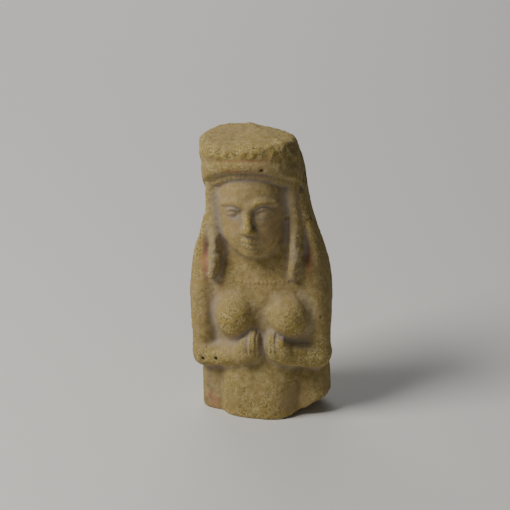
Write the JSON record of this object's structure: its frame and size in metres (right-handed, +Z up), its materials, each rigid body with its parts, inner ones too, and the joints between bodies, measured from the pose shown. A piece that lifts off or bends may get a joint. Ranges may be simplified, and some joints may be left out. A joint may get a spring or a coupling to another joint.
{
  "type": "terracotta figurine",
  "caption": "Broken upper half of a moulded clay figurine of a standing nude woman in a flat hat and veil, hands held under her breasts.",
  "frame": {"origin": "middle of the underside of the figurine's bounding box, on the surface it stands on", "axes": "+Z up along the figure's height, the figure faces -Y, +X to the viewer's right"},
  "size_m": [0.05, 0.0324, 0.1],
  "materials": {
    "fired_clay": "matt fired clay with a worn sandy skin"
  },
  "bodies": {
    "root": {"figurine": "fired_clay"}
  },
  "joints": []
}
